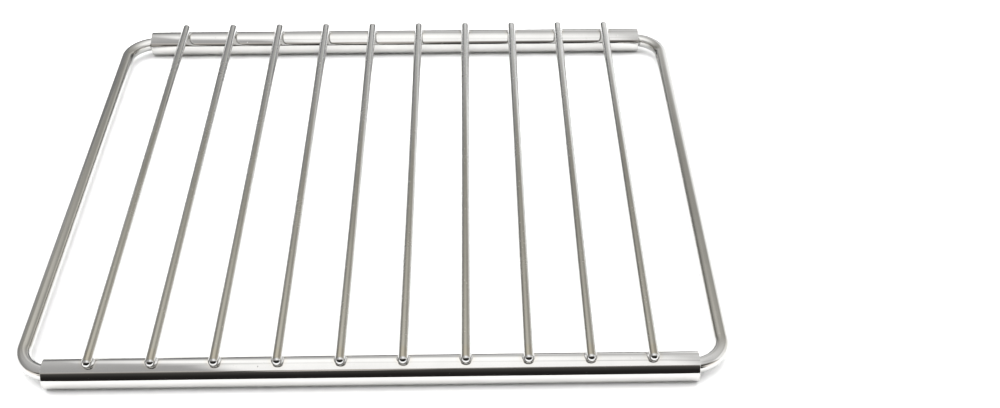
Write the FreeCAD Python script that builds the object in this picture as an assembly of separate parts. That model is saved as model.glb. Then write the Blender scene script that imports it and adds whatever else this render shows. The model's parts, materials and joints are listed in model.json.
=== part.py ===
import FreeCAD
import Part
import math
import os

# Extendable oven shelf: two round rails, a grid of rods welded on top of them and two U-shaped
# side arms whose legs slide in the rails. Millimetres, +X along the rails, +Y to the back, +Z up.
# The origin is under the middle of the shelf, on the surface that the rails rest on.

# Rails, round tubes open at both ends
RAIL_LENGTH = 318.0
RAIL_DIAMETER = 15.0
RAIL_SPACING = 305.0
RAIL_EDGE_BREAK = 0.2

# Shelf rods, welded across the tops of the rails
ROD_COUNT = 10
ROD_DIAMETER = 5.0
ROD_END_MARGIN = 22.5
ROD_OVERHANG = 5.0
ROD_END_ROUND = 2.4
WELD_DEPTH = 0.4

# Side arms, each one bent rod, shown pushed in until its bends meet the rail mouths
ARM_DIAMETER = 8.0
ARM_LEG_CLEARANCE = 1.0
ARM_BEND_RADIUS = 18.0
ARM_MOUTH_CLEARANCE = 0.4
ARM_MEETING_GAP = 6.0
ARM_END_CHAMFER = 0.6

# Tapped holes under the rails for the screws that lock the arms, at the tapping size of M5
LOCK_HOLE_DIAMETER = 4.2
LOCK_HOLE_FROM_END = 20.0

# The largest end round of a rod, as a share of its radius
ROUND_LIMIT = 0.96

X_AXIS = FreeCAD.Vector(1, 0, 0)
Y_AXIS = FreeCAD.Vector(0, 1, 0)
Z_AXIS = FreeCAD.Vector(0, 0, 1)

RAIL_RADIUS = RAIL_DIAMETER / 2
ROD_RADIUS = ROD_DIAMETER / 2
ARM_RADIUS = ARM_DIAMETER / 2
BORE_RADIUS = ARM_RADIUS + ARM_LEG_CLEARANCE
RAIL_HEIGHT = RAIL_RADIUS
ROD_HEIGHT = RAIL_DIAMETER + ROD_RADIUS - WELD_DEPTH
ROD_LENGTH = RAIL_SPACING + 2 * ROD_OVERHANG
ROD_PITCH = (RAIL_LENGTH - 2 * ROD_END_MARGIN) / (ROD_COUNT - 1)


def circle_edges(shape):
    """The round edges of a turned piece, such as the rims of a tube."""
    return [edge for edge in shape.Edges if isinstance(edge.Curve, Part.Circle)]


def bend_start_depth():
    """How far inside the rail mouth the bend of a closed arm begins.

    The inner side of the bend stops one clearance from the broken inner edge of the mouth.
    """
    seat_radius = ARM_BEND_RADIUS - ARM_RADIUS - ARM_MOUTH_CLEARANCE
    edge_offset = ARM_BEND_RADIUS - BORE_RADIUS
    return RAIL_EDGE_BREAK + math.sqrt(seat_radius ** 2 - edge_offset ** 2)


def rod_positions():
    """The X of each rod axis, from left to right."""
    first = ROD_END_MARGIN - RAIL_LENGTH / 2
    return [first + index * ROD_PITCH for index in range(ROD_COUNT)]


def make_rod(x):
    """A straight rod along Y with rounded ends."""
    start = FreeCAD.Vector(x, -ROD_LENGTH / 2, ROD_HEIGHT)
    rod = Part.makeCylinder(ROD_RADIUS, ROD_LENGTH, start, Y_AXIS)
    end_round = min(ROD_END_ROUND, ROUND_LIMIT * ROD_RADIUS)
    return rod.makeFillet(end_round, circle_edges(rod))


def make_rail(y, rods):
    """A tube along X with tapped holes underneath and a shallow weld seat under each rod."""
    start = FreeCAD.Vector(-RAIL_LENGTH / 2, y, RAIL_HEIGHT)
    outside = Part.makeCylinder(RAIL_RADIUS, RAIL_LENGTH, start, X_AXIS)
    bore = Part.makeCylinder(BORE_RADIUS, RAIL_LENGTH, start, X_AXIS)
    tube = outside.cut(bore)
    tube = tube.makeChamfer(RAIL_EDGE_BREAK, circle_edges(tube))
    for side in (-1, 1):
        hole_x = side * (RAIL_LENGTH / 2 - LOCK_HOLE_FROM_END)
        hole_top = FreeCAD.Vector(hole_x, y, RAIL_HEIGHT)
        hole = Part.makeCylinder(LOCK_HOLE_DIAMETER / 2, RAIL_DIAMETER, hole_top, -Z_AXIS)
        tube = tube.cut(hole)
    return tube.cut(rods)


def arm_path():
    """The centre line of the right arm: leg, bend, side, bend, leg."""
    leg_y = RAIL_SPACING / 2
    bend_x = RAIL_LENGTH / 2 - bend_start_depth()
    side_x = bend_x + ARM_BEND_RADIUS
    side_y = leg_y - ARM_BEND_RADIUS
    diagonal = ARM_BEND_RADIUS * math.sqrt(0.5)

    def at(x, y):
        return FreeCAD.Vector(x, y, RAIL_HEIGHT)

    leg_end_x = ARM_MEETING_GAP / 2
    bend_middle = (bend_x + diagonal, side_y + diagonal)
    edges = [
        Part.LineSegment(at(leg_end_x, -leg_y), at(bend_x, -leg_y)),
        Part.Arc(at(bend_x, -leg_y), at(bend_middle[0], -bend_middle[1]), at(side_x, -side_y)),
        Part.LineSegment(at(side_x, -side_y), at(side_x, side_y)),
        Part.Arc(at(side_x, side_y), at(*bend_middle), at(bend_x, leg_y)),
        Part.LineSegment(at(bend_x, leg_y), at(leg_end_x, leg_y)),
    ]
    return Part.Wire([edge.toShape() for edge in edges])


def make_right_arm():
    """One rod bent into a U, with its two leg ends chamfered."""
    path = arm_path()
    leg_end = path.OrderedVertexes[0].Point
    section = Part.Wire(Part.makeCircle(ARM_RADIUS, leg_end, X_AXIS))
    arm = path.makePipeShell([section], True, False)
    rims = [edge for edge in circle_edges(arm) if abs(edge.CenterOfMass.x - leg_end.x) < ARM_END_CHAMFER]
    return arm.makeChamfer(ARM_END_CHAMFER, rims)


def make_parts():
    """Every piece of the shelf under its own name."""
    rods = [make_rod(x) for x in rod_positions()]
    right_arm = make_right_arm()
    parts = {
        "front_rail": make_rail(-RAIL_SPACING / 2, rods),
        "rear_rail": make_rail(RAIL_SPACING / 2, rods),
        "left_arm": right_arm.mirror(FreeCAD.Vector(), X_AXIS),
        "right_arm": right_arm,
    }
    for number, rod in enumerate(rods, start=1):
        parts[f"rod_{number:02d}"] = rod
    return parts


os.makedirs("parts", exist_ok=True)
for name, shape in make_parts().items():
    shape.exportStep(f"parts/{name}.step")
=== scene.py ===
import json
import math

import bmesh
import bpy
from mathutils import Matrix, Vector


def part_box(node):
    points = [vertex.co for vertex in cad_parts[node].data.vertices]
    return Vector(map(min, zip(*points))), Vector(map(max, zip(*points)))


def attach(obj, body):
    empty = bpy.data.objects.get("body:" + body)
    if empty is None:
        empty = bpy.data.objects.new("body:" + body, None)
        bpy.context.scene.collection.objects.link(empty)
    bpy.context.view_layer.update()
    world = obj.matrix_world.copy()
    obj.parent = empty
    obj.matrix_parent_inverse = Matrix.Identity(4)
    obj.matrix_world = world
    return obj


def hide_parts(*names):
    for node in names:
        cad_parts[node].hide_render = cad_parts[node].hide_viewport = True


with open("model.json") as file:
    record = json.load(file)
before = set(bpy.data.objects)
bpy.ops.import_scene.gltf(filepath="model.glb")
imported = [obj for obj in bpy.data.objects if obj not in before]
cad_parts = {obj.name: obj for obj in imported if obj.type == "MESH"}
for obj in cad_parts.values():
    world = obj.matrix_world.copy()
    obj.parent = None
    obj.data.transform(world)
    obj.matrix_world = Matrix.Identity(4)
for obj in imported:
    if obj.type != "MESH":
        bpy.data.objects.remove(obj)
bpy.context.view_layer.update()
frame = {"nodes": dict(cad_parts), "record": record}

bl_info = {
    "name": "Extendable Oven Shelf",
    "version": (1, 0, 0),
    "blender": (4, 5, 0),
    "location": "View3D > Sidebar > Oven Shelf",
    "description": "Models the chrome-plated rails, rods, arms and welds of an extendable oven shelf",
    "category": "Add Mesh",
}

MM = 0.001
MICRON = 0.000001

# Names of the solids and bodies that the pieces follow
RAIL_NODES = ("front_rail", "rear_rail")
ROD_NODES = tuple(sorted(name for name in frame["nodes"] if name.startswith("rod_")))
ARM_NODES = ("left_arm", "right_arm")
GRID_BODY = "grid"

# Mesh fineness: the plating mirrors its surroundings, so round sections and edges need many sides
RAIL_SIDES = 128
ROD_SIDES = 64
ARM_SIDES = 80
BEND_STEPS = 40
MOUTH_ROUND_STEPS = 3
ROD_ROUND_STEPS = 10
ARM_END_STEPS = 2
HOLE_SIDES = 48
BEAD_SEGMENTS = 40
BEAD_RINGS = 20

# Modelling: the profile of a round edge, the largest angle that is shaded smooth, the distance at which
# points count as one, and the distance of the rings cut round a rail from its weld seats and holes
ROUND_PROFILE = 0.5
SMOOTH_ANGLE = math.radians(40)
TOUCH = 0.01 * MM
RING_MARGIN = 1.0 * MM

# Size of the lumps on the welds
LUMP_SIZE = 2.2 * MM

# Ripple left by drawing the steel: its scale along X, Y and Z, where less is longer, and its height
ROD_RIPPLE = ((1.0, 0.06, 1.0), 12 * MICRON)
RAIL_RIPPLE = ((0.12, 1.0, 1.0), 10 * MICRON)
ARM_RIPPLE = ((0.5, 0.12, 1.0), 10 * MICRON)
WELD_RIPPLE = ((1.0, 1.0, 1.0), 25 * MICRON)

# Unevenness of the plate: the span of its clouds and what they make of colour and roughness, the added
# roughness of its specks, the depth of its pits in heights of the ripple, and where specks and pits fade
CLOUD_SPAN = (0.3, 0.7)
CLOUD_TONE = (0.95, 1.03)
CLOUD_POLISH = (0.7, 1.4)
SPECK_ROUGHNESS = 0.10
PIT_DEPTH = 5.0
SPECK_EDGE = (0.05, 0.16)
PIT_EDGE = (0.0, 0.07)

# Where masks begin and end: heat round a weld, polish at a rod's tip, painted sheen under an axis
HEAT_CORE = 2.0 * MM
HEAT_REACH = 6.0 * MM
TIP_CORE = 1.1 * MM
TIP_REACH = 2.1 * MM
UNDER_CORE = -0.5 * MM
UNDER_REACH = 1.0 * MM

# The first and last values of a mask
RISING = (0.0, 1.0)
FALLING = (1.0, 0.0)

# Grid that nodes are laid out on in the shader editor
NODE_COLUMNS = 6
NODE_WIDTH = 220
NODE_HEIGHT = 320

# Camera: its place, how far it looks down, turns to the right and leans, the width of its frame in
# millimetres and the shortest distance that it shows
CAMERA_PLACE = Vector((50.1, -642.5, 491.5)) * MM
CAMERA_PITCH = math.radians(37.963)
CAMERA_YAW = math.radians(1.353)
CAMERA_ROLL = math.radians(0.243)
SENSOR_WIDTH = 36.0
NEAREST_VIEW = 0.01

# Floor and light: the floor's width, the tilt of the light above, and the colours of the tent's sheets
FLOOR_WIDTH = 12.0
LIGHT_TILT = (math.radians(-9), math.radians(-5), 0)
WHITE = (1.0, 1.0, 1.0)
WARM = (1.0, 0.95, 0.90)

# The order in which the corners of a new plane run once round it
PLANE_ROUND = (0, 1, 3, 2)

# Glow over the tent's sheets. A ramp goes from one place to another, in metres, and meanwhile from one
# strength to another, where 1 shows as white. A slant is a shift in X for each metre in Y, or the reverse.

# Top sheet: its grey, the bright field with its edges, and the seam across the field
TOP_GREY = (-0.3, 0.25, 0.635, 0.83)
TOP_FIELD = 1.05
TOP_BACK = (0.08, 0.52, 1.0, 0.0)
TOP_RIGHT = (0.09, 0.32, 1.0, 0.3)
TOP_RIGHT_SLANT = 0.35
TOP_NEAR_LEFT = (-0.17, -0.125, 0.0, 1.0)
TOP_FAR_LEFT = (-0.255, -0.125, 0.0, 1.0)
TOP_NEAR_TO_FAR = (-0.16, -0.08, 0.0, 1.0)
TOP_LEFT_SLANT = 0.43
TOP_SLANT_START = -0.15
SEAM_FRONT = 0.09
SEAM_SLANT = 0.3
SEAM_WIDTH = (0.005, 0.045, 1.0, 0.0)
SEAM_DEPTH = (0.06, 0.18, 0.25, 0.6)

# Back sheet: its grey, the lighter band, the dark foot and how far the sweeps of the floor reach in
BACK_RISE = (0.0, 0.36, 0.46, 0.80)
BACK_ACROSS = (-0.45, 0.45, 0.5, 1.3)
BAND_BELOW = (0.10, 0.22, 0.0, 0.5)
BAND_ABOVE = (0.24, 0.36, 1.0, 0.0)
BAND_LEFT = (-0.30, -0.12, 0.0, 1.0)
FOOT_WIDTH = (0.24, 0.30, 0.8, 0.0)
FOOT_HEIGHT = (0.09, 0.22, 1.0, 0.0)
BACK_LEFT_SWEEP = (-0.5, -0.25, 1.0, 0.0)
BACK_RIGHT_SWEEP = (0.28, 0.40, 0.0, 1.0)

# Side sheets: the white sweep of the floor, low to the left and high to the right, and the grey above it
LOW_SWEEP = (0.03, 0.07, 1.65, 0.0)
HIGH_SWEEP = (0.20, 0.30, 1.6, 0.0)
LEFT_RISE = (0.0, 0.38, 0.36, 0.62)
RIGHT_FALL = (0.20, 0.30, 1.6, 0.9)

# Front sheet: the dark room in the opening, and the wall and the sweep of the floor beside it
ROOM_DARK = (0.01, 0.06, 0.024, 0.07)
ROOM_RISE = (0.05, 0.34, 0.0, 1.0)
ROOM_ACROSS = (-0.02, 0.12, 0.9, 0.5)
WALL_BESIDE = (0.29, 0.33, 0.0, 0.5)
SWEEP_BESIDE = (0.19, 0.22, 0.0, 1.6)
SWEEP_BESIDE_TOP = (0.02, 0.045, 1.0, 0.0)

# The far lamp: its place and size on the front sheet, and the ramps of its glow
LAMP_LEFT = -0.10
LAMP_RIGHT = 0.04
LAMP_LOW = 0.10
LAMP_HIGH = 0.19
LAMP_GAP = 2 * MM
LAMP_RISE = (LAMP_LEFT, -0.06, 0.0, 0.85)
LAMP_FALL = (-0.03, LAMP_RIGHT, 1.0, 0.15)


def node_corners(name):
    """The lowest and highest corners of a solid, as vectors."""
    low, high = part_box(name)
    return Vector(low), Vector(high)


def node_middle(name):
    """The middle of a solid's box."""
    low, high = node_corners(name)
    return (low + high) / 2


def lock_holes(rail_name):
    """Place and radius of the tapped holes under one rail."""
    low, high = node_corners(rail_name)
    holes = []
    for mount in frame["record"]["mounts"]:
        place = Vector(mount["pos_m"])
        if mount["kind"] == "threaded_hole" and low.y < place.y < high.y:
            holes.append((place, mount["dims"]["r_mm"] * MM))
    return holes


class ShelfSizes(bpy.types.PropertyGroup):
    """Sizes of the pieces that the solids' boxes don't give."""

    rail_wall: bpy.props.FloatProperty(
        name="Rail wall", description="Wall of the rail tubes",
        default=2.5 * MM, min=0.2 * MM, precision=5, unit="LENGTH")
    mouth_round: bpy.props.FloatProperty(
        name="Mouth round", description="Rounding of the rims at the open rail ends",
        default=0.25 * MM, min=0.0, precision=5, unit="LENGTH")
    rod_end_round: bpy.props.FloatProperty(
        name="Rod end round", description="Rounding of the rod ends",
        default=2.4 * MM, min=0.0, precision=5, unit="LENGTH")
    bend_radius: bpy.props.FloatProperty(
        name="Bend radius", description="Radius of the arm bends, at the middle of the rod",
        default=18.0 * MM, min=1.0 * MM, precision=5, unit="LENGTH")
    arm_end_chamfer: bpy.props.FloatProperty(
        name="Arm end chamfer", description="Chamfer of the leg ends inside the rails",
        default=0.6 * MM, min=0.0, precision=5, unit="LENGTH")
    weld_width: bpy.props.FloatProperty(
        name="Weld width", description="Width of a weld bead, along the rail",
        default=6.6 * MM, min=0.1 * MM, precision=5, unit="LENGTH")
    weld_length: bpy.props.FloatProperty(
        name="Weld length", description="Length of a weld bead, along the rod",
        default=6.4 * MM, min=0.1 * MM, precision=5, unit="LENGTH")
    weld_height: bpy.props.FloatProperty(
        name="Weld height", description="Height of a weld bead through its middle",
        default=1.9 * MM, min=0.1 * MM, precision=5, unit="LENGTH")
    weld_lumps: bpy.props.FloatProperty(
        name="Weld lumps", description="How far the surface of a bead swells and sinks",
        default=0.35 * MM, min=0.0, precision=5, unit="LENGTH")


class ShelfFinish(bpy.types.PropertyGroup):
    """Colours and polish of the plating."""

    # On the bends and legs of the arms this colour is a painted highlight
    rail_colour: bpy.props.FloatVectorProperty(
        name="Rail plate", description="Colour of the chrome on rails, welds and the bends of the arms",
        default=(0.553, 0.548, 0.535), min=0.0, max=1.0, subtype="COLOR")
    rod_colour: bpy.props.FloatVectorProperty(
        name="Rod plate", description="Colour of the chrome on the rods",
        default=(0.292, 0.279, 0.241), min=0.0, max=1.0, subtype="COLOR")
    arm_colour: bpy.props.FloatVectorProperty(
        name="Arm plate", description="Colour of the chrome on the straight sides of the arms",
        default=(0.33, 0.318, 0.285), min=0.0, max=1.0, subtype="COLOR")
    tip_colour: bpy.props.FloatVectorProperty(
        name="Rod tips", description="Colour of the smooth chrome on the rounded rod ends",
        default=(0.52, 0.52, 0.515), min=0.0, max=1.0, subtype="COLOR")
    heat_colour: bpy.props.FloatVectorProperty(
        name="Heat tint", description="Tint of the plating round the welds",
        default=(0.98, 0.95, 0.90), min=0.0, max=1.0, subtype="COLOR")
    # Painted sheen: this colour is laid under the axis of rods and arms and at glancing angles, so that they
    # mirror more light
    painted_edge_sheen_colour: bpy.props.FloatVectorProperty(
        name="Painted edge sheen", description="Colour of the chrome under rods and arms and at glancing angles",
        default=(0.50, 0.50, 0.49), min=0.0, max=1.0, subtype="COLOR")
    edge_start: bpy.props.FloatProperty(
        name="Edge start", description="How far the plating turns away before its colour begins to change",
        default=0.40, min=0.0, max=1.0, subtype="FACTOR")
    edge_end: bpy.props.FloatProperty(
        name="Edge end", description="How far the plating turns away before it has the edge colour",
        default=0.55, min=0.0, max=1.0, subtype="FACTOR")
    rail_roughness: bpy.props.FloatProperty(
        name="Rail roughness", description="Roughness of the plating on the rails",
        default=0.05, min=0.0, max=1.0, subtype="FACTOR")
    rod_roughness: bpy.props.FloatProperty(
        name="Rod roughness", description="Roughness of the plating on the rods",
        default=0.22, min=0.0, max=1.0, subtype="FACTOR")
    arm_roughness: bpy.props.FloatProperty(
        name="Arm roughness", description="Roughness of the plating on the arms",
        default=0.13, min=0.0, max=1.0, subtype="FACTOR")
    tip_roughness: bpy.props.FloatProperty(
        name="Tip roughness", description="Roughness of the plating on the rounded rod ends",
        default=0.07, min=0.0, max=1.0, subtype="FACTOR")
    weld_roughness: bpy.props.FloatProperty(
        name="Weld roughness", description="Roughness of the plating over and round the welds",
        default=0.12, min=0.0, max=1.0, subtype="FACTOR")


class ShelfStudio(bpy.types.PropertyGroup):
    """The floor, the light tent round the shelf and the camera."""

    floor_colour: bpy.props.FloatVectorProperty(
        name="Floor", description="Colour of the floor",
        default=(0.92, 0.92, 0.92), min=0.0, max=1.0, subtype="COLOR")
    room_light: bpy.props.FloatProperty(
        name="Room light", description="Strength of the even light from all round",
        default=0.287, min=0.0)
    top_light: bpy.props.FloatProperty(
        name="Top light", description="Strength of the broad soft light above the shelf",
        default=6.0, min=0.0)
    top_spread: bpy.props.FloatProperty(
        name="Top light spread", description="How wide the light above is, seen from the shelf",
        default=math.radians(100), min=0.0, max=math.pi, subtype="ANGLE")
    tent_top: bpy.props.FloatProperty(
        name="Tent height", description="Height of the tent's top sheet",
        default=0.383, min=0.01, unit="LENGTH")
    tent_side: bpy.props.FloatProperty(
        name="Tent half width", description="Distance of the tent's side sheets from the middle",
        default=0.62, min=0.01, unit="LENGTH")
    tent_back: bpy.props.FloatProperty(
        name="Tent back", description="Distance of the tent's back sheet behind the middle",
        default=0.62, min=0.01, unit="LENGTH")
    mouth_top: bpy.props.FloatProperty(
        name="Opening top", description="How far in front of the middle the tent's top sheet ends",
        default=0.461, min=0.01, unit="LENGTH")
    mouth_bottom: bpy.props.FloatProperty(
        name="Opening bottom", description="How far in front of the middle the tent's floor ends",
        default=0.195, min=0.01, unit="LENGTH")
    lens: bpy.props.FloatProperty(
        name="Lens", description="Focal length of the camera in millimetres",
        default=50.49, min=1.0)


def start_clean():
    """Leave edit mode and select nothing, so that an operator acts only on the new piece."""
    if bpy.context.mode != "OBJECT":
        bpy.ops.object.mode_set(mode="OBJECT")
    bpy.ops.object.select_all(action="DESELECT")


def take_new(name):
    """Name the object that was just added and put its place into its mesh."""
    piece = bpy.context.active_object
    piece.name = name
    piece.data.name = name
    bpy.ops.object.transform_apply(location=True, rotation=True, scale=True)
    return piece


def make_active(piece):
    """Select one piece alone."""
    start_clean()
    piece.select_set(True)
    bpy.context.view_layer.objects.active = piece


def select_edges(piece, test):
    """Enter edit mode and select the edges whose two ends pass a test."""
    bpy.ops.object.mode_set(mode="EDIT")
    bpy.ops.mesh.select_mode(type="EDGE")
    bpy.ops.mesh.select_all(action="DESELECT")
    mesh = bmesh.from_edit_mesh(piece.data)
    for edge in mesh.edges:
        if test(edge.verts[0].co, edge.verts[1].co):
            edge.select_set(True)
    bmesh.update_edit_mesh(piece.data)


def round_edges(piece, test, size, steps):
    """Bevel the edges whose two ends pass a test."""
    select_edges(piece, test)
    bpy.ops.mesh.bevel(offset=size, segments=steps, profile=ROUND_PROFILE)
    bpy.ops.object.mode_set(mode="OBJECT")


def apply_modifier(piece, modifier):
    """Bake one modifier into the mesh."""
    make_active(piece)
    bpy.ops.object.modifier_apply(modifier=modifier.name)


def face_outwards(piece):
    """Merge doubles and turn every face outwards."""
    make_active(piece)
    bpy.ops.object.mode_set(mode="EDIT")
    bpy.ops.mesh.select_all(action="SELECT")
    bpy.ops.mesh.remove_doubles(threshold=TOUCH)
    bpy.ops.mesh.normals_make_consistent(inside=False)
    bpy.ops.object.mode_set(mode="OBJECT")


def smooth(piece):
    """Shade round faces smooth and keep real corners sharp."""
    make_active(piece)
    bpy.ops.object.shade_smooth_by_angle(angle=SMOOTH_ANGLE)


def copy_moved(piece, name, step):
    """A copy of a piece with its own mesh, moved by a step."""
    make_active(piece)
    bpy.ops.object.duplicate(linked=False)
    bpy.ops.transform.translate(value=step)
    return take_new(name)


def dress(piece, material, node_names, body):
    """Give a piece its finish, hide the solids it stands for and let it ride on its body."""
    piece.data.materials.clear()
    piece.data.materials.append(material)
    if node_names:
        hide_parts(*node_names)
    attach(piece, body)


def add_node(tree, kind, **settings):
    """A shader node with its settings, in the next free cell of the editor's grid."""
    row, column = divmod(len(tree.nodes), NODE_COLUMNS)
    node = tree.nodes.new(kind)
    node.location = (column * NODE_WIDTH, -row * NODE_HEIGHT)
    for name, value in settings.items():
        setattr(node, name, value)
    return node


def feed(tree, socket, value):
    """Link an input to another node's output, or set it to a plain value."""
    if isinstance(value, bpy.types.NodeSocket):
        tree.links.new(value, socket)
    else:
        socket.default_value = value


def add_math(tree, operation, *values):
    """A Math node fed by sockets or numbers."""
    node = add_node(tree, "ShaderNodeMath", operation=operation)
    for socket, value in zip(node.inputs, values):
        feed(tree, socket, value)
    return node.outputs[0]


def product(tree, result, *others):
    """Several values multiplied with each other."""
    for value in others:
        result = add_math(tree, "MULTIPLY", result, value)
    return result


def without(tree, share):
    """What is left of 1 when a share is taken away."""
    return add_math(tree, "SUBTRACT", 1.0, share)


def fade(tree, value, start, end, first, last, curve="SMOOTHSTEP"):
    """A change from a first to a last value while the input goes from start to end."""
    node = add_node(tree, "ShaderNodeMapRange", interpolation_type=curve)
    labels = ("Value", "From Min", "From Max", "To Min", "To Max")
    for label, number in zip(labels, (value, start, end, first, last)):
        feed(tree, node.inputs[label], number)
    return node.outputs["Result"]


def mix(tree, data_type, factor, first, last, blend_type="MIX"):
    """A number or colour mixed into another one as far as a factor says."""
    node = add_node(tree, "ShaderNodeMix", data_type=data_type, blend_type=blend_type)
    for label, value in (("Factor", factor), ("A", first), ("B", last)):
        feed(tree, node.inputs[label], value)
    return node.outputs["Result"]


def split(tree, coordinate):
    """The X, Y and Z of a coordinate."""
    node = add_node(tree, "ShaderNodeSeparateXYZ")
    tree.links.new(coordinate, node.inputs[0])
    return node.outputs


def distance_from_middle(tree, coordinate):
    """How far in front of or behind the shelf's middle a point lies."""
    return add_math(tree, "ABSOLUTE", split(tree, coordinate)["Y"])


def new_group(name, inputs, outputs):
    """An empty shader group with a coordinate, named inputs with their defaults, and named values."""
    group = bpy.data.node_groups.new(name, "ShaderNodeTree")
    group.interface.new_socket("Coordinate", in_out="INPUT", socket_type="NodeSocketVector")
    for label, default in inputs.items():
        kind = "NodeSocketVector" if isinstance(default, tuple) else "NodeSocketFloat"
        socket = group.interface.new_socket(label, in_out="INPUT", socket_type=kind)
        socket.default_value = default
    for label in outputs:
        group.interface.new_socket(label, in_out="OUTPUT", socket_type="NodeSocketFloat")
    entry = add_node(group, "NodeGroupInput")
    leave = add_node(group, "NodeGroupOutput")
    return group, entry.outputs, leave.inputs


def drawn_ripple(name):
    """Long low ripples and fine draw lines, stretched along a rod or tube, as a height."""
    group, entry, leave = new_group(name, {"Stretch": (1.0, 1.0, 1.0), "Line Share": 0.08}, ["Height"])
    stretched = add_node(group, "ShaderNodeVectorMath", operation="MULTIPLY")
    group.links.new(entry["Coordinate"], stretched.inputs[0])
    group.links.new(entry["Stretch"], stretched.inputs[1])
    ripple = add_node(group, "ShaderNodeTexNoise")
    ripple.inputs["Scale"].default_value = 60.0
    ripple.inputs["Detail"].default_value = 2.0
    lines = add_node(group, "ShaderNodeTexNoise")
    lines.inputs["Scale"].default_value = 900.0
    lines.inputs["Detail"].default_value = 3.0
    for noise in (ripple, lines):
        group.links.new(stretched.outputs[0], noise.inputs["Vector"])
    fine = add_math(group, "MULTIPLY", lines.outputs["Fac"], entry["Line Share"])
    height = add_math(group, "ADD", ripple.outputs["Fac"], fine)
    group.links.new(height, leave["Height"])
    return group


def plate_bloom(name):
    """Cloudy differences in the polish of the plating, small dull specks and a few tiny pits."""
    group, entry, leave = new_group(
        name, {"Cloud Scale": 35.0, "Speck Scale": 420.0, "Pit Scale": 110.0}, ["Cloud", "Specks", "Pits"])
    cloud = add_node(group, "ShaderNodeTexNoise")
    cloud.inputs["Detail"].default_value = 5.0
    cloud.inputs["Roughness"].default_value = 0.6
    group.links.new(entry["Coordinate"], cloud.inputs["Vector"])
    group.links.new(entry["Cloud Scale"], cloud.inputs["Scale"])
    group.links.new(cloud.outputs["Fac"], leave["Cloud"])
    for label, scale, edge in (("Specks", "Speck Scale", SPECK_EDGE), ("Pits", "Pit Scale", PIT_EDGE)):
        spots = add_node(group, "ShaderNodeTexVoronoi", feature="F1")
        group.links.new(entry["Coordinate"], spots.inputs["Vector"])
        group.links.new(entry[scale], spots.inputs["Scale"])
        group.links.new(fade(group, spots.outputs["Distance"], *edge, *FALLING), leave[label])
    return group


def weld_heat(name):
    """A mask that is 1 at every crossing of a rod and a rail and fades with the distance."""
    first_x, second_x = (node_middle(rod).x for rod in ROD_NODES[:2])
    inputs = {
        "First Rod": first_x,
        "Pitch": second_x - first_x,
        "Rail Line": node_middle(RAIL_NODES[1]).y,
        "Core": HEAT_CORE,
        "Reach": HEAT_REACH,
    }
    group, entry, leave = new_group(name, inputs, ["Mask"])
    half_pitch = add_math(group, "MULTIPLY", entry["Pitch"], 0.5)
    minus_half = add_math(group, "MULTIPLY", half_pitch, -1.0)
    from_first = add_math(group, "SUBTRACT", split(group, entry["Coordinate"])["X"], entry["First Rod"])
    along = add_math(group, "WRAP", from_first, half_pitch, minus_half)
    depth = distance_from_middle(group, entry["Coordinate"])
    across = add_math(group, "SUBTRACT", depth, entry["Rail Line"])
    along_squared = add_math(group, "MULTIPLY", along, along)
    squared = add_math(group, "MULTIPLY_ADD", across, across, along_squared)
    distance = add_math(group, "SQRT", squared)
    group.links.new(fade(group, distance, entry["Core"], entry["Reach"], *FALLING), leave["Mask"])
    return group


def rod_tip(name):
    """A mask that is 1 on the rounded ends of the rods."""
    inputs = {"Rod End": node_corners(ROD_NODES[0])[1].y, "Core": TIP_CORE, "Reach": TIP_REACH}
    group, entry, leave = new_group(name, inputs, ["Mask"])
    depth = distance_from_middle(group, entry["Coordinate"])
    to_end = add_math(group, "SUBTRACT", entry["Rod End"], depth)
    group.links.new(fade(group, to_end, entry["Core"], entry["Reach"], *FALLING), leave["Mask"])
    return group


def arm_bend(name):
    """A mask that is 1 on the legs of the arms, 0 on their straight sides, and rises along the bends; it
    places the painted highlight of the arms.
    """
    leg_y = node_middle(RAIL_NODES[1]).y
    side_y = leg_y - bpy.context.scene.shelf_sizes.bend_radius
    group, entry, leave = new_group(name, {"Side End": side_y, "Leg Line": leg_y}, ["Mask"])
    depth = distance_from_middle(group, entry["Coordinate"])
    group.links.new(fade(group, depth, entry["Side End"], entry["Leg Line"], *RISING), leave["Mask"])
    return group


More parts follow.
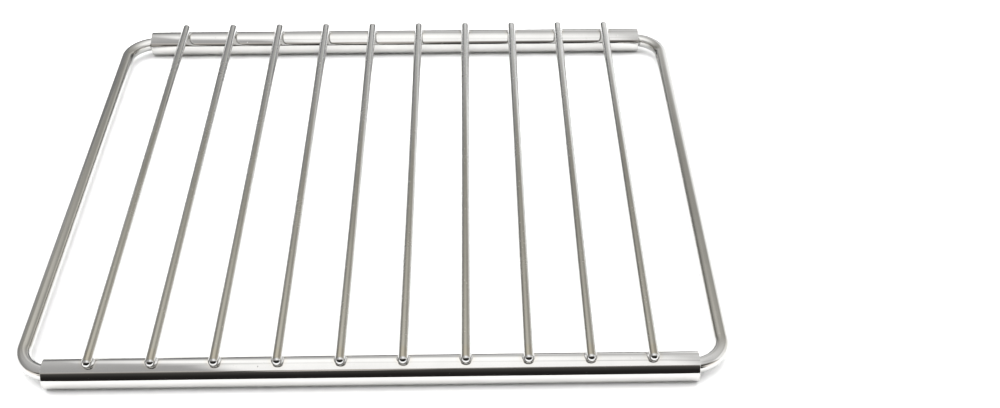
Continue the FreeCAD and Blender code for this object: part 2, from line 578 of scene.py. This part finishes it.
class Plating:
    """Chrome plate over drawn steel, as a material that is built up layer by layer."""

    def __init__(self, name, colour, roughness, stretch, ripple_height):
        self.looks = bpy.context.scene.shelf_finish
        self.material = bpy.data.materials.new(name)
        self.material.use_nodes = True
        self.tree = self.material.node_tree
        self.shader = self.tree.nodes["Principled BSDF"]
        self.shader.inputs["Metallic"].default_value = 1.0
        self.coordinate = add_node(self.tree, "ShaderNodeTexCoord").outputs["Object"]
        bloom = self.place_group("Plate bloom", plate_bloom).outputs
        tone = fade(self.tree, bloom["Cloud"], *CLOUD_SPAN, *CLOUD_TONE, curve="LINEAR")
        self.base = mix(self.tree, "RGBA", 1.0, (*colour, 1.0), tone, blend_type="MULTIPLY")
        smoothest, dullest = (share * roughness for share in CLOUD_POLISH)
        polish = fade(self.tree, bloom["Cloud"], *CLOUD_SPAN, smoothest, dullest, curve="LINEAR")
        self.roughness = add_math(self.tree, "MULTIPLY_ADD", bloom["Specks"], SPECK_ROUGHNESS, polish)
        self.raise_ripple(bloom["Pits"], stretch, ripple_height)

    def place_group(self, name, build):
        """A shared node group in this material, built when the first material asks for it."""
        node = add_node(self.tree, "ShaderNodeGroup")
        node.node_tree = bpy.data.node_groups.get(name) or build(name)
        self.tree.links.new(self.coordinate, node.inputs["Coordinate"])
        return node

    def raise_ripple(self, pits, stretch, ripple_height):
        """Bump from the drawn ripple, with the pits sunk into it."""
        ripple = self.place_group("Drawn ripple", drawn_ripple)
        ripple.inputs["Stretch"].default_value = stretch
        height = add_math(self.tree, "MULTIPLY_ADD", pits, -PIT_DEPTH, ripple.outputs["Height"])
        bump = add_node(self.tree, "ShaderNodeBump")
        bump.inputs["Strength"].default_value = 1.0
        bump.inputs["Distance"].default_value = ripple_height
        self.tree.links.new(height, bump.inputs["Height"])
        self.tree.links.new(bump.outputs["Normal"], self.shader.inputs["Normal"])

    def lay(self, mask, colour, roughness=None, blend_type="MIX"):
        """Lay a colour, and a roughness where one is given, over the plate as far as a mask reaches."""
        self.base = mix(self.tree, "RGBA", mask, self.base, (*colour, 1.0), blend_type)
        if roughness is not None:
            self.roughness = mix(self.tree, "FLOAT", mask, self.roughness, roughness)

    def tint_welds(self):
        """Heat tint and an even polish round the welds."""
        mask = self.place_group("Weld heat", weld_heat).outputs["Mask"]
        self.lay(mask, self.looks.heat_colour, self.looks.weld_roughness, blend_type="MULTIPLY")

    def paint_bend_highlight(self):
        """Painted highlight: the brighter plate of the rails on the bends and legs of an arm, so that they
        mirror more light.
        """
        mask = self.place_group("Arm bend", arm_bend).outputs["Mask"]
        self.lay(mask, self.looks.rail_colour)

    def paint_edge_sheen(self, axis_height):
        """Painted sheen: a brighter base colour below the axis of a rod, and where it is seen at a glancing
        angle, so that these parts mirror more light.
        """
        facing = add_node(self.tree, "ShaderNodeLayerWeight")
        facing.inputs["Blend"].default_value = 0.5
        # Painted sheen at glancing angles, and painted sheen on the lower side of the axis
        turned = fade(
            self.tree, facing.outputs["Facing"], self.looks.edge_start, self.looks.edge_end, *RISING)
        height = split(self.tree, self.coordinate)["Z"]
        under = fade(self.tree, height, axis_height + UNDER_CORE, axis_height + UNDER_REACH, *FALLING)
        self.lay(add_math(self.tree, "MAXIMUM", turned, under), self.looks.painted_edge_sheen_colour)

    def polish_tips(self):
        """Smooth bright plate on the rounded ends of the rods."""
        mask = self.place_group("Rod tip", rod_tip).outputs["Mask"]
        self.lay(mask, self.looks.tip_colour, self.looks.tip_roughness)

    def finished(self):
        """The material with all its layers."""
        self.tree.links.new(self.base, self.shader.inputs["Base Color"])
        self.tree.links.new(self.roughness, self.shader.inputs["Roughness"])
        return self.material


class SHELF_OT_make_rods(bpy.types.Operator):
    """Model the straight rods with their rounded ends"""

    bl_idname = "shelf.make_rods"
    bl_label = "Make rods"

    def execute(self, context):
        finish = self.plating(context.scene.shelf_finish)
        first = self.first_rod(context.scene.shelf_sizes)
        start = node_middle(ROD_NODES[0])
        rods = [first]
        for name in ROD_NODES[1:]:
            rods.append(copy_moved(first, f"plated_{name}", node_middle(name) - start))
        for rod, name in zip(rods, ROD_NODES):
            smooth(rod)
            dress(rod, finish, [name], GRID_BODY)
        return {"FINISHED"}

    def plating(self, looks):
        """Satin plate with painted sheen on the edges and underside, bright tips, tinted round the welds."""
        plate = Plating("Rod chrome", looks.rod_colour, looks.rod_roughness, *ROD_RIPPLE)
        plate.tint_welds()
        plate.paint_edge_sheen(node_middle(ROD_NODES[0]).z)
        plate.polish_tips()
        return plate.finished()

    def first_rod(self, sizes):
        """A cylinder along Y whose two rims are rounded."""
        name = ROD_NODES[0]
        low, high = node_corners(name)
        start_clean()
        bpy.ops.mesh.primitive_cylinder_add(
            vertices=ROD_SIDES, radius=(high.x - low.x) / 2, depth=high.y - low.y,
            end_fill_type="NGON", location=node_middle(name), rotation=(math.pi / 2, 0, 0))
        rod = take_new(f"plated_{name}")

        def on_rim(one, other):
            return any(abs(one.y - y) < TOUCH and abs(other.y - y) < TOUCH for y in (low.y, high.y))

        round_edges(rod, on_rim, sizes.rod_end_round, ROD_ROUND_STEPS)
        return rod


class SHELF_OT_make_rails(bpy.types.Operator):
    """Model the tube rails with their open mouths, weld seats and tapped holes"""

    bl_idname = "shelf.make_rails"
    bl_label = "Make rails"

    def execute(self, context):
        finish = self.plating(context.scene.shelf_finish)
        for name in RAIL_NODES:
            rail = self.tube(name, context.scene.shelf_sizes)
            self.cut_rings(rail, name)
            self.cut_holes(rail, name)
            self.cut_seats(rail)
            smooth(rail)
            dress(rail, finish, [name], GRID_BODY)
        return {"FINISHED"}

    def plating(self, looks):
        """Bright plate, tinted round the welds."""
        plate = Plating("Rail chrome", looks.rail_colour, looks.rail_roughness, *RAIL_RIPPLE)
        plate.tint_welds()
        return plate.finished()

    def tube(self, name, sizes):
        """An open cylinder along X, given its wall and rounded rims."""
        low, high = node_corners(name)
        axis = node_middle(name)
        start_clean()
        bpy.ops.mesh.primitive_cylinder_add(
            vertices=RAIL_SIDES, radius=(high.z - low.z) / 2, depth=high.x - low.x,
            end_fill_type="NOTHING", location=axis, rotation=(0, math.pi / 2, 0))
        rail = take_new(f"plated_{name}")
        wall = rail.modifiers.new("Wall", "SOLIDIFY")
        wall.thickness = sizes.rail_wall
        wall.offset = -1.0
        wall.use_even_offset = True
        apply_modifier(rail, wall)

        def radius(point):
            return math.hypot(point.y - axis.y, point.z - axis.z)

        def on_rim(one, other):
            at_mouth = any(abs(one.x - x) < TOUCH and abs(other.x - x) < TOUCH for x in (low.x, high.x))
            return at_mouth and abs(radius(one) - radius(other)) < TOUCH

        round_edges(rail, on_rim, sizes.mouth_round, MOUTH_ROUND_STEPS)
        return rail

    def cut_rings(self, rail, name):
        """Cut rings round the tube on both sides of each weld seat and hole."""
        stations = []
        for rod in ROD_NODES:
            low, high = node_corners(rod)
            stations += [low.x - RING_MARGIN, high.x + RING_MARGIN]
        for place, radius in lock_holes(name):
            stations += [place.x - radius - RING_MARGIN, place.x + radius + RING_MARGIN]
        make_active(rail)
        bpy.ops.object.mode_set(mode="EDIT")
        for x in stations:
            bpy.ops.mesh.select_all(action="SELECT")
            bpy.ops.mesh.bisect(plane_co=(x, 0, 0), plane_no=(1, 0, 0))
        bpy.ops.object.mode_set(mode="OBJECT")

    def cut_holes(self, rail, name):
        """Drill the tapped holes up through the lower wall."""
        axis = node_middle(name)
        for place, radius in lock_holes(name):
            start_clean()
            bpy.ops.mesh.primitive_cylinder_add(
                vertices=HOLE_SIDES, radius=radius, depth=2 * axis.z, location=(place.x, axis.y, 0))
            drill = take_new("drill")
            self.subtract(rail, drill)
            bpy.data.objects.remove(drill)

    def cut_seats(self, rail):
        """Sink each rod a little into the top of the tube, where it is welded."""
        for name in ROD_NODES:
            self.subtract(rail, bpy.data.objects[f"plated_{name}"])

    def subtract(self, rail, cutter):
        """Take the shape of a cutter out of the rail."""
        cut = rail.modifiers.new("Cut", "BOOLEAN")
        cut.operation = "DIFFERENCE"
        cut.solver = "EXACT"
        cut.object = cutter
        apply_modifier(rail, cut)


class SHELF_OT_make_arms(bpy.types.Operator):
    """Model the U-shaped arms as one bent rod each"""

    bl_idname = "shelf.make_arms"
    bl_label = "Make arms"

    def execute(self, context):
        finish = self.plating(context.scene.shelf_finish)
        right = self.right_arm(context.scene.shelf_sizes)
        make_active(right)
        bpy.ops.object.duplicate(linked=False)
        bpy.ops.transform.resize(value=(-1, 1, 1), center_override=(0, 0, 0))
        left = take_new(f"plated_{ARM_NODES[0]}")
        face_outwards(left)
        for arm, name in zip((left, right), ARM_NODES):
            smooth(arm)
            dress(arm, finish, [name], name)
        return {"FINISHED"}

    def plating(self, looks):
        """Satin plate with painted sheen on the edges and underside, and a painted highlight on the bends
        and legs.
        """
        plate = Plating("Arm chrome", looks.arm_colour, looks.arm_roughness, *ARM_RIPPLE)
        plate.paint_bend_highlight()
        plate.paint_edge_sheen(node_middle(ARM_NODES[0]).z)
        return plate.finished()

    def right_arm(self, sizes):
        """A circle drawn along leg, bend, side, bend and leg, then closed at both ends."""
        name = ARM_NODES[1]
        low, high = node_corners(name)
        radius = (high.z - low.z) / 2
        axis_z = (high.z + low.z) / 2
        leg_y = high.y - radius
        bend_x = high.x - radius - sizes.bend_radius
        bend_y = leg_y - sizes.bend_radius
        start_clean()
        bpy.ops.mesh.primitive_circle_add(
            vertices=ARM_SIDES, radius=radius, fill_type="NOTHING",
            location=(low.x, -leg_y, axis_z), rotation=(0, math.pi / 2, 0))
        arm = take_new(f"plated_{name}")
        bpy.ops.object.mode_set(mode="EDIT")
        bpy.ops.mesh.select_all(action="SELECT")
        self.draw((bend_x - low.x, 0, 0))
        self.bend((bend_x, -bend_y, axis_z))
        self.draw((0, 2 * bend_y, 0))
        self.bend((bend_x, bend_y, axis_z))
        self.draw((low.x - bend_x, 0, 0))
        bpy.ops.mesh.select_all(action="SELECT")
        bpy.ops.mesh.fill_holes(sides=0)
        bpy.ops.object.mode_set(mode="OBJECT")
        face_outwards(arm)

        def on_leg_end(one, other):
            return max(one.x, other.x) < low.x + TOUCH

        round_edges(arm, on_leg_end, sizes.arm_end_chamfer, ARM_END_STEPS)
        return arm

    def draw(self, step):
        """Pull the open ring straight on."""
        bpy.ops.mesh.extrude_region_move(TRANSFORM_OT_translate={"value": step})

    def bend(self, centre):
        """Turn the open ring a quarter round, to the left."""
        bpy.ops.mesh.spin(steps=BEND_STEPS, angle=-math.pi / 2, center=centre, axis=(0, 0, 1))


class SHELF_OT_make_welds(bpy.types.Operator):
    """Model the beads of fused metal where the rods are welded to the rails"""

    bl_idname = "shelf.make_welds"
    bl_label = "Make welds"

    def execute(self, context):
        sizes = context.scene.shelf_sizes
        looks = context.scene.shelf_finish
        finish = Plating("Weld chrome", looks.rail_colour, looks.weld_roughness, *WELD_RIPPLE).finished()
        for rail_name in RAIL_NODES:
            welds = self.row_of_beads(rail_name, sizes)
            self.swell(welds, sizes)
            smooth(welds)
            dress(welds, finish, [], GRID_BODY)
        return {"FINISHED"}

    def row_of_beads(self, rail_name, sizes):
        """One flat bead under each rod, joined into one piece."""
        rail_top = node_corners(rail_name)[1].z
        rail_y = node_middle(rail_name).y
        places = [Vector((node_middle(rod).x, rail_y, rail_top)) for rod in ROD_NODES]
        start_clean()
        bpy.ops.mesh.primitive_uv_sphere_add(
            segments=BEAD_SEGMENTS, ring_count=BEAD_RINGS, radius=0.5, location=places[0],
            scale=(sizes.weld_width, sizes.weld_length, sizes.weld_height))
        bead = take_new(f"{rail_name}_welds")
        copies = [copy_moved(bead, "bead", place - places[0]) for place in places[1:]]
        make_active(bead)
        for copy in copies:
            copy.select_set(True)
        bpy.ops.object.join()
        return bead

    def swell(self, welds, sizes):
        """Make each bead a little uneven."""
        lumps = bpy.data.textures.new("Weld lumps", "CLOUDS")
        lumps.noise_scale = LUMP_SIZE
        swelling = welds.modifiers.new("Lumps", "DISPLACE")
        swelling.texture = lumps
        swelling.texture_coords = "GLOBAL"
        swelling.strength = sizes.weld_lumps
        apply_modifier(welds, swelling)


def top_glow(tree, place):
    """A bright field over the middle of the shelf with a seam across it, cut off aslant to the left."""
    x, y = place["X"], place["Y"]
    slanting_y = add_math(tree, "MAXIMUM", y, TOP_SLANT_START)
    far_left = fade(tree, add_math(tree, "MULTIPLY_ADD", slanting_y, TOP_LEFT_SLANT, x), *TOP_FAR_LEFT)
    near_left = fade(tree, x, *TOP_NEAR_LEFT)
    left = mix(tree, "FLOAT", fade(tree, y, *TOP_NEAR_TO_FAR), near_left, far_left)
    right = fade(tree, add_math(tree, "MULTIPLY_ADD", y, TOP_RIGHT_SLANT, x), *TOP_RIGHT)
    back = fade(tree, y, *TOP_BACK)
    slanting_seam = add_math(tree, "MULTIPLY_ADD", x, SEAM_SLANT, y)
    from_seam = add_math(tree, "ABSOLUTE", add_math(tree, "ADD", slanting_seam, SEAM_FRONT))
    depth = fade(tree, add_math(tree, "ABSOLUTE", x), *SEAM_DEPTH)
    seam = product(tree, depth, fade(tree, from_seam, *SEAM_WIDTH))
    field = product(tree, left, right, back, without(tree, seam))
    return add_math(tree, "MULTIPLY_ADD", field, TOP_FIELD, fade(tree, y, *TOP_GREY))


def back_glow(tree, place):
    """Grey, lighter upwards and to the right, between white sweeps of the floor at both sides.

    A lighter band runs across it, and its foot is dark in the middle.
    """
    x, z = place["X"], place["Z"]
    band = product(tree, fade(tree, z, *BAND_BELOW), fade(tree, z, *BAND_ABOVE), fade(tree, x, *BAND_LEFT))
    height = add_math(tree, "ADD", fade(tree, z, *BACK_RISE), band)
    aside = add_math(tree, "ABSOLUTE", x)
    foot = product(tree, fade(tree, aside, *FOOT_WIDTH), fade(tree, z, *FOOT_HEIGHT))
    grey = product(tree, height, without(tree, foot), fade(tree, x, *BACK_ACROSS))
    left = product(tree, fade(tree, x, *BACK_LEFT_SWEEP), fade(tree, z, *LOW_SWEEP))
    right = product(tree, fade(tree, x, *BACK_RIGHT_SWEEP), fade(tree, z, *HIGH_SWEEP))
    return add_math(tree, "MAXIMUM", grey, add_math(tree, "ADD", left, right))


def left_glow(tree, place):
    """Dark grey over the white sweep of the floor, a little lighter towards the top."""
    grey = fade(tree, place["Z"], *LEFT_RISE)
    return add_math(tree, "MAXIMUM", grey, fade(tree, place["Z"], *LOW_SWEEP))


def right_glow(tree, place):
    """Light grey over a high white sweep of the floor."""
    return fade(tree, place["Z"], *RIGHT_FALL)


def front_glow(tree, place):
    """The dark room seen through the opening, dimly lit along the top, more so to the left.

    Beside the opening there is a grey wall over a low white sweep of the floor.
    """
    x, z = place["X"], place["Z"]
    rise = fade(tree, z, *ROOM_RISE)
    across = fade(tree, x, *ROOM_ACROSS)
    room = add_math(tree, "MULTIPLY_ADD", rise, across, fade(tree, z, *ROOM_DARK))
    aside = add_math(tree, "ABSOLUTE", x)
    sweep = product(tree, fade(tree, aside, *SWEEP_BESIDE), fade(tree, z, *SWEEP_BESIDE_TOP))
    beside = add_math(tree, "MAXIMUM", fade(tree, aside, *WALL_BESIDE), sweep)
    return add_math(tree, "MAXIMUM", room, beside)


def lamp_glow(tree, place):
    """A faint far lamp in the dark room."""
    return product(tree, fade(tree, place["X"], *LAMP_RISE), fade(tree, place["X"], *LAMP_FALL))


def glow_material(name, colour, strength):
    """The glow of one sheet of the light tent: a function gives its strength over the sheet."""
    material = bpy.data.materials.new(name)
    material.use_nodes = True
    tree = material.node_tree
    tree.nodes.clear()
    coordinate = add_node(tree, "ShaderNodeTexCoord").outputs["Object"]
    glow = add_node(tree, "ShaderNodeEmission")
    glow.inputs["Color"].default_value = (*colour, 1.0)
    tree.links.new(strength(tree, split(tree, coordinate)), glow.inputs["Strength"])
    output = add_node(tree, "ShaderNodeOutputMaterial")
    tree.links.new(glow.outputs[0], output.inputs["Surface"])
    return material


class SHELF_OT_make_stage(bpy.types.Operator):
    """Set the pale floor, the light tent that the plating mirrors, and the camera"""

    bl_idname = "shelf.make_stage"
    bl_label = "Make stage"

    def execute(self, context):
        studio = context.scene.shelf_studio
        context.scene.view_settings.view_transform = "Standard"
        self.floor(studio)
        self.room(context.scene, studio)
        self.tent(studio)
        self.camera(context.scene, studio)
        return {"FINISHED"}

    def floor(self, studio):
        """A wide pale floor under the rails."""
        start_clean()
        bpy.ops.mesh.primitive_plane_add(size=FLOOR_WIDTH, location=(0, 0, 0))
        floor = take_new("floor")
        material = bpy.data.materials.new("Floor")
        material.use_nodes = True
        shader = material.node_tree.nodes["Principled BSDF"]
        shader.inputs["Base Color"].default_value = (*studio.floor_colour, 1.0)
        shader.inputs["Roughness"].default_value = 0.9
        shader.inputs["Specular IOR Level"].default_value = 0.0
        floor.data.materials.append(material)

    def room(self, scene, studio):
        """A white surround that gives faint light, and one broad soft light above the shelf."""
        world = bpy.data.worlds.new("Room")
        world.use_nodes = True
        tree = world.node_tree
        background = tree.nodes["Background"]
        background.inputs["Color"].default_value = (*WHITE, 1.0)
        path = add_node(tree, "ShaderNodeLightPath")
        strength = fade(tree, path.outputs["Is Camera Ray"], 0.0, 1.0, studio.room_light, 1.0)
        tree.links.new(strength, background.inputs["Strength"])
        scene.world = world
        start_clean()
        bpy.ops.object.light_add(type="SUN", location=(0, 0, studio.tent_top), rotation=LIGHT_TILT)
        light = bpy.context.active_object
        light.name = "top_light"
        light.data.angle = studio.top_spread
        light.data.energy = studio.top_light
        light.visible_glossy = False

    def tent(self, studio):
        """Sheets round the shelf that only the plating mirrors: bright above, grey round, dark in front."""
        top, side, back = studio.tent_top, studio.tent_side, studio.tent_back
        front_top, front_bottom = -studio.mouth_top, -studio.mouth_bottom

        def across(left, right, low, high):
            """Corners of a sheet from left to right, between two lines that are given by their Y and Z."""
            return [(left, *low), (right, *low), (right, *high), (left, *high)]

        def before_front(z):
            """Y and Z of a line just inside the front sheet."""
            return front_bottom + (front_top - front_bottom) * z / top + LAMP_GAP, z

        self.sheet("front_sheet", WARM, front_glow, across(-side, side, (front_bottom, 0), (front_top, top)))
        self.sheet("back_sheet", WHITE, back_glow, across(-side, side, (back, 0), (back, top)))
        for name, x, glow in (("left_sheet", -side, left_glow), ("right_sheet", side, right_glow)):
            self.sheet(name, WHITE, glow, [
                (x, front_bottom, 0), (x, back, 0), (x, back, top), (x, front_top, top)])
        self.sheet("top_sheet", WHITE, top_glow, across(-side, side, (front_top, top), (back, top)))
        self.sheet("far_lamp", WARM, lamp_glow, across(
            LAMP_LEFT, LAMP_RIGHT, before_front(LAMP_LOW), before_front(LAMP_HIGH)))

    def sheet(self, name, colour, glow, corners):
        """One flat sheet, seen in the plating and nowhere else. Its corners run once round it."""
        start_clean()
        bpy.ops.mesh.primitive_plane_add(size=1.0)
        sheet = take_new(name)
        for index, corner in zip(PLANE_ROUND, corners):
            sheet.data.vertices[index].co = corner
        sheet.data.materials.append(glow_material(name, colour, glow))
        sheet.visible_camera = False
        sheet.visible_diffuse = False
        sheet.visible_shadow = False

    def camera(self, scene, studio):
        """A camera in front of the shelf and above it, a little to the right of its middle."""
        turn = (Matrix.Rotation(-CAMERA_YAW, 4, "Z") @ Matrix.Rotation(math.pi / 2 - CAMERA_PITCH, 4, "X")
                @ Matrix.Rotation(CAMERA_ROLL, 4, "Z"))
        start_clean()
        bpy.ops.object.camera_add(location=CAMERA_PLACE, rotation=turn.to_euler())
        camera = bpy.context.active_object
        camera.data.sensor_width = SENSOR_WIDTH
        camera.data.lens = studio.lens
        camera.data.clip_start = NEAREST_VIEW
        scene.camera = camera


class VIEW3D_PT_oven_shelf(bpy.types.Panel):
    """Sizes, finishes and makers of the shelf"""

    bl_idname = "VIEW3D_PT_oven_shelf"
    bl_label = "Oven Shelf"
    bl_space_type = "VIEW_3D"
    bl_region_type = "UI"
    bl_category = "Oven Shelf"

    def draw(self, context):
        layout = self.layout
        for group in (context.scene.shelf_sizes, context.scene.shelf_finish, context.scene.shelf_studio):
            column = layout.column(align=True)
            for name in group.__annotations__:
                column.prop(group, name)
        for operator in OPERATORS:
            layout.operator(operator.bl_idname)


OPERATORS = (
    SHELF_OT_make_rods,
    SHELF_OT_make_rails,
    SHELF_OT_make_arms,
    SHELF_OT_make_welds,
    SHELF_OT_make_stage,
)
CLASSES = (ShelfSizes, ShelfFinish, ShelfStudio, *OPERATORS, VIEW3D_PT_oven_shelf)


def register():
    for item in CLASSES:
        bpy.utils.register_class(item)
    bpy.types.Scene.shelf_sizes = bpy.props.PointerProperty(type=ShelfSizes)
    bpy.types.Scene.shelf_finish = bpy.props.PointerProperty(type=ShelfFinish)
    bpy.types.Scene.shelf_studio = bpy.props.PointerProperty(type=ShelfStudio)


def unregister():
    del bpy.types.Scene.shelf_studio
    del bpy.types.Scene.shelf_finish
    del bpy.types.Scene.shelf_sizes
    for item in reversed(CLASSES):
        bpy.utils.unregister_class(item)


def main():
    """Make every piece and the stage."""
    register()
    bpy.ops.shelf.make_rods()
    bpy.ops.shelf.make_rails()
    bpy.ops.shelf.make_arms()
    bpy.ops.shelf.make_welds()
    bpy.ops.shelf.make_stage()


if __name__ == "__main__":
    main()
